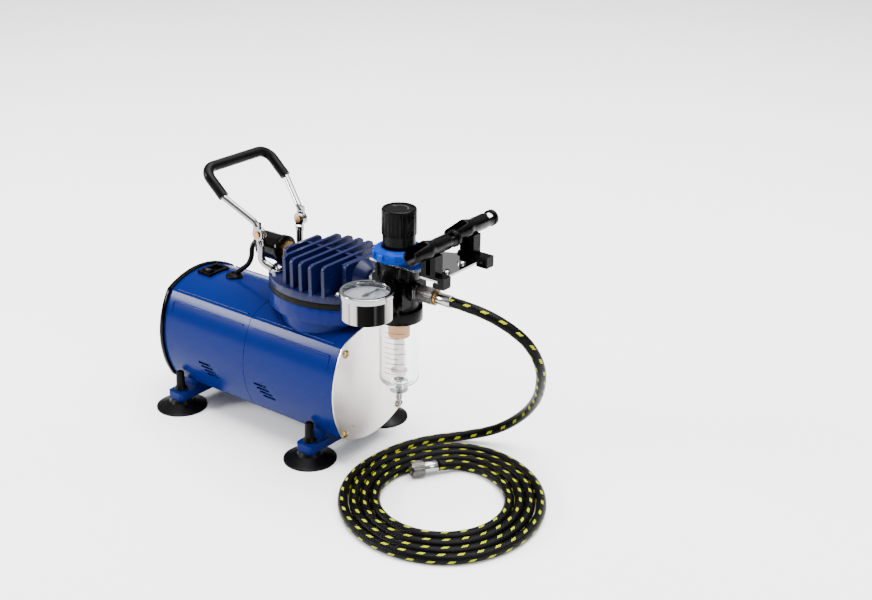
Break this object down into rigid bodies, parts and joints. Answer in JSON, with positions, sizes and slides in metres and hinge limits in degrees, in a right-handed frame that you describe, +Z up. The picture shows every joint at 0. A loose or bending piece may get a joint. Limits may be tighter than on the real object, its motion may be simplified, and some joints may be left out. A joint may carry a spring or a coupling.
{
  "type": "airbrush compressor",
  "caption": "Small piston air compressor for airbrushing with a finned head, folding handle, filter regulator, gauge, airbrush holders and a braided hose lying in a coil.",
  "frame": {"origin": "on the surface under the middle of the compressor, hose left out", "axes": "+X along the motor shaft towards the polished front plate and the regulator, +Z up, -Y towards the side with the gauge"},
  "size_m": [0.352, 0.1771, 0.2059],
  "materials": {
    "blue_paint": "gloss royal blue enamel",
    "navy_paint": "satin dark blue cast finish",
    "azure_plastic": "gloss azure",
    "polished_steel": "polished stainless sheet",
    "chrome_plate": "bright chrome",
    "bright_steel": "turned steel",
    "dark_nickel": "dark knurled nickel",
    "yellow_zinc": "yellow zinc plating",
    "brass_fitting": "machined brass",
    "olive_plate": "dark olive anodised plate with black gaskets",
    "cast_aluminium": "cast aluminium",
    "laminated_steel": "laminated steel",
    "black_rubber": "matte black rubber",
    "black_plastic": "satin black",
    "clear_plastic": "clear polycarbonate",
    "dial_white": "white printed dial",
    "needle_black": "black",
    "filter_bronze": "orange sintered filter",
    "hose_braid": "black braid with yellow flecks"
  },
  "bodies": {
    "frame": {"shell_rear": "blue_paint", "shell_front": "blue_paint", "rear_cover": "black_plastic", "rear_trim": "black_rubber", "front_plate": "polished_steel", "front_plate_screws": "yellow_zinc", "foot_bracket_rear": "blue_paint", "foot_bracket_front": "blue_paint", "foot_rear_near": "black_rubber", "foot_rear_far": "black_rubber", "foot_front_near": "black_rubber", "foot_front_far": "black_rubber", "rocker_bezel": "black_plastic", "cable_grommet": "black_rubber", "switch_cable": "black_rubber", "pressure_switch": "black_plastic", "switch_fitting": "brass_fitting", "mains_gland": "black_rubber", "motor_frame": "cast_aluminium", "motor_stator": "laminated_steel", "motor_bearings": "bright_steel", "crankcase": "cast_aluminium", "cylinder": "blue_paint", "valve_plate": "olive_plate", "cylinder_head": "navy_paint", "head_screws": "chrome_plate", "upright_near": "chrome_plate", "upright_far": "chrome_plate", "handle_pins": "bright_steel", "outlet_nipple": "bright_steel", "regulator_body": "black_plastic", "ring_nut": "azure_plastic", "holder_plate": "chrome_plate", "holder_plate_screws": "bright_steel", "holder_near": "black_plastic", "holder_far": "black_plastic", "gauge_case": "chrome_plate", "gauge_dial": "dial_white", "gauge_glass": "clear_plastic", "filter_bowl": "clear_plastic", "filter_element": "filter_bronze", "outlet_fitting": "brass_fitting", "outlet_nut": "dark_nickel", "hose_ferrule": "bright_steel", "hose_lead": "hose_braid", "hose_coil": "hose_braid", "hose_end_ferrule": "bright_steel", "hose_end_nut": "dark_nickel"},
    "handle": {"handle_bail": "chrome_plate", "handle_grip": "black_rubber"},
    "adjuster": {"adjusting_spindle": "black_plastic"},
    "knob": {"knob": "black_plastic"},
    "rocker": {"rocker": "black_plastic"},
    "needle": {"gauge_needle": "needle_black"},
    "rotor": {"motor_rotor": "laminated_steel", "motor_shaft": "bright_steel", "cooling_fan": "black_plastic", "crank_eccentric": "bright_steel"},
    "piston": {"connecting_rod": "cast_aluminium"},
    "drain": {"drain_valve": "bright_steel"}
  },
  "joints": [
    {"name": "handle_fold", "type": "hinge", "parent": "frame", "child": "handle", "pos_m": [-0.03525, 0, 0.1582], "axis": [0, 1, 0], "range_deg": [-78, 60]},
    {"name": "pressure_turn", "type": "hinge", "parent": "frame", "child": "adjuster", "pos_m": [0.07905, 0, 0.165], "axis": [0, 0, 1], "range_deg": [-360, 720]},
    {"name": "knob_lock_lift", "type": "slide", "parent": "adjuster", "child": "knob", "axis": [0, 0, 1], "range_m": [0, 0.003]},
    {"name": "power_rocker", "type": "hinge", "parent": "frame", "child": "rocker", "pos_m": [-0.11045, 0, 0.1026], "axis": [1, 0, 0], "range_deg": [0, 20]},
    {"name": "needle_sweep", "type": "hinge", "parent": "frame", "child": "needle", "pos_m": [0.07905, -0.0356, 0.143], "axis": [0, 0, 1], "range_deg": [-270, 0], "stiffness_Nm_per_rad": 0.0002, "springref_deg": 2.86},
    {"name": "motor_spin", "type": "hinge", "parent": "frame", "child": "rotor", "pos_m": [-0.04095, 0, 0.0575], "axis": [1, 0, 0], "continuous": true},
    {"name": "piston_stroke", "type": "slide", "parent": "frame", "child": "piston", "axis": [0, 0, 1], "range_m": [-0.01, 0]},
    {"name": "drain_push", "type": "slide", "parent": "frame", "child": "drain", "axis": [0, 0, 1], "range_m": [0, 0.002], "stiffness_N_per_m": 300, "springref_m": -0.001}
  ]
}
